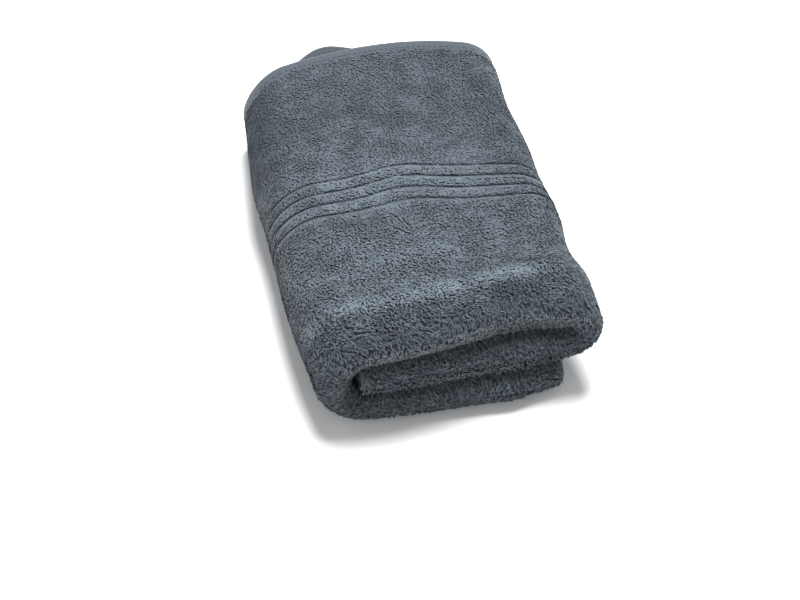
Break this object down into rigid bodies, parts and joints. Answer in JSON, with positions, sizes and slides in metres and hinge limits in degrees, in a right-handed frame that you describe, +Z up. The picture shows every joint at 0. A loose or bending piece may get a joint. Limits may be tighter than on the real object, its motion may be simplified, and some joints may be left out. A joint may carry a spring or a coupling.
{
  "type": "folded terry hand towel",
  "caption": "Slate terry hand towel with a ribbed border band, folded in quarters and wrapped flat in thirds, resting on its bottom panel.",
  "frame": {"origin": "centre of the bounding box's bottom face, on the surface that the towel lies on", "axes": "+X across the folded towel, with the wide wrapped fold at -X and the narrow fold at +X; +Y from its front folds to its hems at the back; +Z up"},
  "size_m": [0.1728, 0.287, 0.0597],
  "materials": {
    "terry": "matte looped cotton pile"
  },
  "bodies": {
    "root": {"towel": "terry"}
  },
  "joints": []
}
